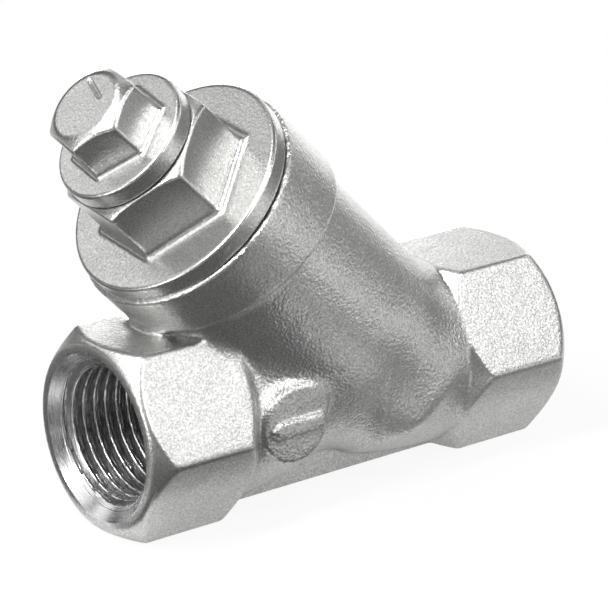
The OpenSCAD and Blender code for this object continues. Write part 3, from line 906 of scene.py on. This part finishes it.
# Operators
class VALVE_OT_casting(bpy.types.Operator):
    """Builds the cast body with its two tapped ports"""
    bl_idname = "valve.casting"
    bl_label = "Cast body"

    def execute(self, context):
        made = finishes()
        cell = context.scene.valve_sizes.casting_cell
        points, quads = net_surface(casting_field, *CASTING_BOX, cell)
        body = piece_from("casting", points, quads, "run")
        cutters = []
        for end in (-1, 1):
            face, mouth = end*(HALF_RUN + 1.0), end*(HALF_RUN - MOUTH_DEPTH)
            inner = end*(HALF_RUN - MOUTH_DEPTH - THREAD_LEN)
            profile = [(0, face), (MOUTH_R + 1.0, face), (THREAD_MAJOR_R, mouth),
                       (THREAD_MAJOR_R, inner), (0, inner)]
            cutters.append(solid_lathe("port bore", profile, 160))
            turn_to_run(cutters[-1])
        cutters.append(outlet_passage())
        cutters.append(inlet_passage())
        cutters.append(solid_lathe("leg hollow", [
            (0, BRIDGE_S), (POCKET_R, BRIDGE_S), (POCKET_R, POCKET_END_S),
            (LEG_BORE_R, POCKET_END_S), (LEG_BORE_R, CAP_THREAD_S), (CAP_THREAD_R, CAP_THREAD_S),
            (CAP_THREAD_R, CAP_RECESS_S), (CAP_RECESS_R, CAP_RECESS_S), (CAP_RECESS_R, RIM_CUT_S),
            (0, RIM_CUT_S)], 160, "leg"))
        cutters.append(solid_lathe("seat hole", [
            (0, -SEAT_CUT_S), (SEAT_R, -SEAT_CUT_S), (SEAT_R, SEAT_CUT_S),
            (0, SEAT_CUT_S)], 96, "leg"))
        carve(body, cutters)
        seat = lathe("seat", [
            (SEAT_R, 1.0), (SEAT_OUT_R, 1.0), (SEAT_OUT_R, SEAT_S - 0.1),
            (SEAT_OUT_R - 0.1, SEAT_S), (SEAT_R + 0.1, SEAT_S), (SEAT_R, SEAT_S - 0.1)],
            96, "leg")
        join_in(body, seat)
        shade(body, 42.0)
        finish_piece(body, made["cast steel"], "casting", "cast_steel", "body")
        for name, end in (("outlet_thread", -1), ("inlet_thread", 1)):
            thread = port_thread(name, end)
            shade(thread, 50.0)
            finish_piece(thread, made["port steel"], "casting", "bright_steel")
        paint_mouths(body, made["port steel"])
        return {"FINISHED"}


def turn_to_run(obj):
    """Lays a solid turned round z along the pipe's axis."""
    obj.data.transform(Matrix.Translation((0, 0, AXIS_Z*MM)) @ Matrix.Rotation(math.pi/2, 4, "Y"))
    face_outwards(obj)


def half_space(s, outward):
    """A large block on one side of a plane across the leg."""
    size = 60.0
    low, high = (s, s + size) if outward else (s - size, s)
    corners = [(x, y, z) for x in (-size, size) for y in (-size, size) for z in (low, high)]
    faces = [(0, 1, 3, 2), (4, 6, 7, 5), (0, 4, 5, 1), (2, 3, 7, 6), (0, 2, 6, 4), (1, 5, 7, 3)]
    block = piece_from("block", corners, faces, "leg")
    face_outwards(block)
    return block


def outlet_passage():
    cone = solid_lathe("outlet passage", OUTLET_PASSAGE, 96)
    turn_to_run(cone)
    join_in(cone, half_space(BRIDGE_S, True), "INTERSECT")
    return cone


def inlet_passage():
    room = solid_lathe("inlet chamber", INLET_PASSAGE, 96)
    turn_to_run(room)
    join_in(room, half_space(BRIDGE_UNDER_S, False), "INTERSECT")
    return room


def paint_mouths(body, material):
    """Gives the machined chamfers and walls of both ports their own finish."""
    body.data.materials.append(material)
    for face in body.data.polygons:
        x, y, z = (c/MM for c in face.center)
        radius = math.hypot(y, z - AXIS_Z)
        depth = HALF_RUN - abs(x)
        near_port = 9.0 < radius < MOUTH_R + 0.17 and -0.1 < depth < THREAD_END + 0.2
        if near_port and (radius > 10.3 or abs(radius + depth - MOUTH_R) < 0.12):
            face.material_index = 1


class VALVE_OT_cap(bpy.types.Operator):
    """Builds the screwed cap: flange, hexagon and threaded spigot"""
    bl_idname = "valve.cap"
    bl_label = "Cap"

    def execute(self, context):
        made = finishes()
        props = context.scene.valve_sizes
        points, quads = net_surface(cap_field, *CAP_BOX, props.cap_cell)
        cap = piece_from("cap_head", points, quads, "leg")
        bore = solid_lathe("plug bore", [
            (0, CAP_CUT_LOW_S), (PLUG_BORE_R, CAP_CUT_LOW_S), (PLUG_BORE_R, PLUG_RECESS_S),
            (PLUG_RECESS_R, PLUG_RECESS_S), (PLUG_RECESS_R, CAP_CUT_HIGH_S),
            (0, CAP_CUT_HIGH_S)], 128, "leg")
        carve(cap, [bore])
        shade(cap, 65.0)
        finish_piece(cap, made["cap steel"], "cap", "cast_steel", "cap")
        top = FLANGE_S + THREAD_LAP
        spigot = threaded_shank(
            "cap_spigot", SPIGOT_S, top, SPIGOT_MAJOR_R, SPIGOT_MINOR_R, props.cap_pitch,
            [(SPIGOT_BORE_R, top), (SPIGOT_BORE_R, SOCKET_S), (SOCKET_R, SOCKET_S),
             (SOCKET_R, SPIGOT_S + 0.3), (SOCKET_R + 0.3, SPIGOT_S)], THREAD_LEAD)
        shade(spigot, 50.0)
        finish_piece(spigot, made["bright steel"], "cap", "bright_steel")
        return {"FINISHED"}


class VALVE_OT_drain_plug(bpy.types.Operator):
    """Builds the drain plug: collar, hexagon with its struck line, and threaded shank"""
    bl_idname = "valve.drain_plug"
    bl_label = "Drain plug"

    def execute(self, context):
        made = finishes()
        props = context.scene.valve_sizes
        points, quads = net_surface(plug_field, *PLUG_BOX, props.plug_cell)
        plug = piece_from("plug_head", points, quads, "leg")
        shade(plug, 65.0)
        finish_piece(plug, made["cap steel"], "plug", "cast_steel", "drain_plug")
        top = COLLAR_S + THREAD_LAP
        shank = threaded_shank(
            "plug_shank", SHANK_END_S, top, SHANK_MAJOR_R, SHANK_MINOR_R, props.plug_pitch,
            [(SHANK_BORE_R, top), (SHANK_BORE_R, SHANK_END_S)], THREAD_LEAD)
        shade(shank, 50.0)
        finish_piece(shank, made["bright steel"], "plug", "bright_steel")
        return {"FINISHED"}


class VALVE_OT_inner_parts(bpy.types.Operator):
    """Gives the inner parts and the gaskets their finishes"""
    bl_idname = "valve.inner_parts"
    bl_label = "Inner parts"

    def execute(self, context):
        made = finishes()
        wanted = {
            "gasket sheet": ("cap_gasket", "plug_gasket"), "seal rubber": ("disc_seal",),
            "bright steel": ("screen_lower_ring", "screen_upper_ring", "stem_guide",
                             "check_disc", "seal_retainer", "retainer_nut")}
        for finish, nodes in wanted.items():
            for node in nodes:
                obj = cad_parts[node]
                obj.data.materials.clear()
                obj.data.materials.append(made[finish])
        return {"FINISHED"}


class VALVE_OT_strainer_screen(bpy.types.Operator):
    """Builds the strainer screen, a tube with staggered rows of small holes"""
    bl_idname = "valve.strainer_screen"
    bl_label = "Strainer screen"

    def execute(self, context):
        made = finishes()
        props = context.scene.valve_sizes
        inner = SCREEN_R - SCREEN_T
        screen = lathe("perforated_screen", [
            (inner, SCREEN_LOW_S), (SCREEN_R, SCREEN_LOW_S), (SCREEN_R, SCREEN_HIGH_S),
            (inner, SCREEN_HIGH_S)], 168)
        margin = props.hole_radius + 0.9
        run_tree(screen, perforation_tree(), {
            "Radius": (SCREEN_R - SCREEN_T/2)*MM, "Hole Radius": props.hole_radius*MM,
            "First Row": (SCREEN_LOW_S + SCREEN_RIM_LOW + margin)*MM,
            "Last Row": (SCREEN_HIGH_S - SCREEN_RIM_HIGH - margin)*MM,
            "Holes Round": props.holes_round, "Rows": props.hole_rows,
            "Material": made["bright steel"]})
        shade(screen, 40.0)
        finish_piece(screen, made["bright steel"], "screen_pack", "bright_steel",
                     "strainer_screen")
        return {"FINISHED"}


class VALVE_OT_closing_spring(bpy.types.Operator):
    """Builds the closing spring, a round wire with closed end turns"""
    bl_idname = "valve.closing_spring"
    bl_label = "Closing spring"

    def execute(self, context):
        made = finishes()
        props = context.scene.valve_sizes
        spring = piece_from("spring_coil", [(0, 0, 0)], [])
        run_tree(spring, spring_tree(), {
            "Coil Radius": COIL_R*MM, "Wire Radius": WIRE_R*MM,
            "Length": (SPRING_HIGH_S - SPRING_LOW_S)*MM, "Open Turns": props.spring_turns,
            "Steps": COIL_STEPS, "Material": made["spring steel"]})
        spring.data.transform(Matrix.Translation(Vector(LEG_OUT)*SPRING_LOW_S*MM))
        shade(spring, 60.0)
        finish_piece(spring, made["spring steel"], "screen_pack", "bright_steel",
                     "closing_spring")
        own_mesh(spring)
        return {"FINISHED"}


# Stage
# How much of the plain white the camera sees, and how much the metal mirrors
FLOOR_SEEN = 0.9
FLOOR_MIRRORED = 0.38
SKY_SEEN = 0.9
SKY_MIRRORED = 0.05

# Grey cards that only the metal mirrors, painted reflections laid on the floor: the dim ones
# paint shade into the metal's reflections, and the bright boss card paints a highlight on the
# boss; name, x and y range, height, and level
PAINTED_REFLECTION_CARDS = [
    ("front card", (-160.0, 2.0), (-260.0, -15.0), 0.4, 0.13),
    ("front right card", (2.0, 60.0), (-260.0, -15.0), 0.4, 0.28),
    ("left card", (-200.0, -38.0), (6.0, 160.0), 0.4, 0.13),
    ("corner card", (-200.0, -38.0), (-15.0, 0.0), 0.4, 0.13),
    ("boss card", (-6.0, 20.0), (-58.0, -28.0), 0.6, 0.85),
]

CAMERA_AT = (-0.2858189, -0.3771426, 0.1997612)
CAMERA_TURN = (69.6923, 0.17, -37.1406)
CAMERA_LENS = 214.811
LAMP_DISTANCE = 420.0
LAMP_TARGET = (0.0, 0.0, 0.025)

# Name, compass angle from the front towards the inlet, height angle, width and height
# of the lamp in millimetres, and power in watts
LAMPS = [
    ("back right low", 150.0, 3.0, 180.0, 160.0, 0.5),
    ("top front", 0.0, 60.0, 180.0, 160.0, 0.53),
    ("top left", -120.0, 60.0, 180.0, 160.0, 0.5),
    ("front", 0.0, 30.0, 180.0, 160.0, 0.38),
    ("front right", 40.0, 30.0, 180.0, 160.0, 0.27),
    ("right back", 120.0, 30.0, 180.0, 160.0, 0.19),
    ("right low", 120.0, 3.0, 180.0, 160.0, 0.16),
    ("front right low", 30.0, 3.0, 180.0, 160.0, 0.12),
    ("left low", -92.0, 3.0, 140.0, 160.0, 0.5),
    ("right", 80.0, 30.0, 180.0, 160.0, 0.14),
    ("left", -110.0, 30.0, 180.0, 160.0, 0.11),
    ("back left", -150.0, 30.0, 180.0, 160.0, 0.12),
    ("front left", -60.0, 30.0, 180.0, 160.0, 0.07),
    ("top back", 150.0, 60.0, 180.0, 160.0, 0.08),
    ("back right", 150.0, 28.0, 180.0, 160.0, 0.11),
    ("narrow left", -80.0, 49.0, 25.0, 260.0, 1.2),
]


class VALVE_OT_stage(bpy.types.Operator):
    """Sets the floor, the studio lamps and the camera"""
    bl_idname = "valve.stage"
    bl_label = "Floor, lamps and camera"

    def execute(self, context):
        scene = context.scene
        scene.view_settings.view_transform = "Standard"
        data = bpy.data.cameras.new("camera")
        data.sensor_width = 36.0
        data.lens = CAMERA_LENS
        data.clip_start, data.clip_end = 0.01, 20.0
        camera = bpy.data.objects.new("camera", data)
        camera.location = CAMERA_AT
        camera.rotation_euler = [math.radians(x) for x in CAMERA_TURN]
        scene.collection.objects.link(camera)
        scene.camera = camera
        lay_floor()
        for lamp in LAMPS:
            add_lamp(*lamp)
        set_world()
        return {"FINISHED"}


def add_lamp(name, compass, height, width, tall, power):
    level = bpy.context.scene.valve_sizes.light_level
    data = bpy.data.lights.new(name, "AREA")
    data.shape = "RECTANGLE"
    data.size, data.size_y = width*MM, tall*MM
    data.energy = power*level
    lamp = bpy.data.objects.new(name, data)
    a, e = math.radians(compass), math.radians(height)
    back = Vector((math.sin(a)*math.cos(e), -math.cos(a)*math.cos(e), math.sin(e)))
    lamp.location = Vector(LAMP_TARGET) + back*LAMP_DISTANCE*MM
    lamp.rotation_mode = "QUATERNION"
    lamp.rotation_quaternion = back.to_track_quat("Z", "Y")
    bpy.context.scene.collection.objects.link(lamp)
    return lamp


def lay_floor():
    """A pale floor, and grey cards on it that only the metal mirrors: painted reflections, dim
    ones for painted shade and a bright one for a painted highlight.
    """
    floor = card("floor", (-9000.0, 9000.0), (-9000.0, 9000.0), -0.02)
    material, tree, shader, place = new_material("pale floor")
    feed(tree, [(shader.inputs["Base Color"], (0.85, 0.85, 0.85, 1.0)),
                (shader.inputs["Roughness"], 0.9), (shader.inputs["Specular IOR Level"], 0.0)])
    glow = tree.nodes.new("ShaderNodeEmission")
    mix = tree.nodes.new("ShaderNodeMixShader")
    feed(tree, zip(mix.inputs, (seen_share(tree, FLOOR_SEEN, FLOOR_MIRRORED),
                                shader.outputs["BSDF"], glow.outputs["Emission"])))
    output = next(n for n in tree.nodes if n.type == "OUTPUT_MATERIAL")
    tree.links.new(mix.outputs["Shader"], output.inputs["Surface"])
    floor.data.materials.append(material)
    # Each card glows only in the metal's reflections: painted shade where its level is low, a
    # painted highlight where it is high
    for name, x_range, y_range, z, level in PAINTED_REFLECTION_CARDS:
        made = bpy.data.materials.new(name)
        made.use_nodes = True
        made.node_tree.nodes.clear()
        light = add_node(made.node_tree, "ShaderNodeEmission", {"Strength": level})
        add_node(made.node_tree, "ShaderNodeOutputMaterial", {
            "Surface": light.outputs["Emission"]})
        sheet = card(name, x_range, y_range, z)
        sheet.data.materials.append(made)
        # Hidden from the camera, from diffuse light and from shadows, so a card shows only as a
        # painted reflection in the metal
        sheet.visible_camera = False
        sheet.visible_diffuse = False
        sheet.visible_shadow = False


def seen_share(tree, seen, mirrored):
    """How much of the plain white shows to the camera, and to metal and glass."""
    path = tree.nodes.new("ShaderNodeLightPath")
    share = 0.0
    for kind, level in (("Is Camera Ray", seen), ("Is Glossy Ray", mirrored),
                        ("Is Transmission Ray", mirrored)):
        share = number(tree, "MULTIPLY_ADD", path.outputs[kind], level, share)
    return share


def card(name, x_range, y_range, z):
    corners = [(x_range[0], y_range[0], z), (x_range[1], y_range[0], z),
               (x_range[1], y_range[1], z), (x_range[0], y_range[1], z)]
    flat = piece_from(name, corners, [(0, 1, 2, 3)])
    return flat


def set_world():
    world = bpy.data.worlds.new("studio")
    world.use_nodes = True
    tree = world.node_tree
    sky = tree.nodes["Background"]
    sky.inputs["Color"].default_value = (1.0, 1.0, 1.0, 1.0)
    tree.links.new(seen_share(tree, SKY_SEEN, SKY_MIRRORED), sky.inputs["Strength"])
    bpy.context.scene.world = world


class VALVE_PT_panel(bpy.types.Panel):
    """Lists the valve's pieces and sizes"""
    bl_label = "Combination valve"
    bl_idname = "VALVE_PT_panel"
    bl_space_type = "VIEW_3D"
    bl_region_type = "UI"
    bl_category = "Valve"

    def draw(self, context):
        for name in ValveSizes.__annotations__:
            self.layout.prop(context.scene.valve_sizes, name)
        for operator in OPERATORS:
            self.layout.operator(operator.bl_idname)


OPERATORS = (VALVE_OT_casting, VALVE_OT_cap, VALVE_OT_drain_plug, VALVE_OT_strainer_screen,
             VALVE_OT_closing_spring, VALVE_OT_inner_parts, VALVE_OT_stage)
CLASSES = (ValveSizes, *OPERATORS, VALVE_PT_panel)


def register():
    for made in CLASSES:
        bpy.utils.register_class(made)
    bpy.types.Scene.valve_sizes = PointerProperty(type=ValveSizes)


def unregister():
    del bpy.types.Scene.valve_sizes
    for made in reversed(CLASSES):
        bpy.utils.unregister_class(made)


def main():
    register()
    for obj in [o for o in bpy.data.objects if o.type in {"LIGHT", "CAMERA"}]:
        bpy.data.objects.remove(obj)
    bpy.ops.valve.casting()
    bpy.ops.valve.cap()
    bpy.ops.valve.drain_plug()
    bpy.ops.valve.strainer_screen()
    bpy.ops.valve.closing_spring()
    bpy.ops.valve.inner_parts()
    bpy.ops.valve.stage()


if __name__ == "__main__":
    main()
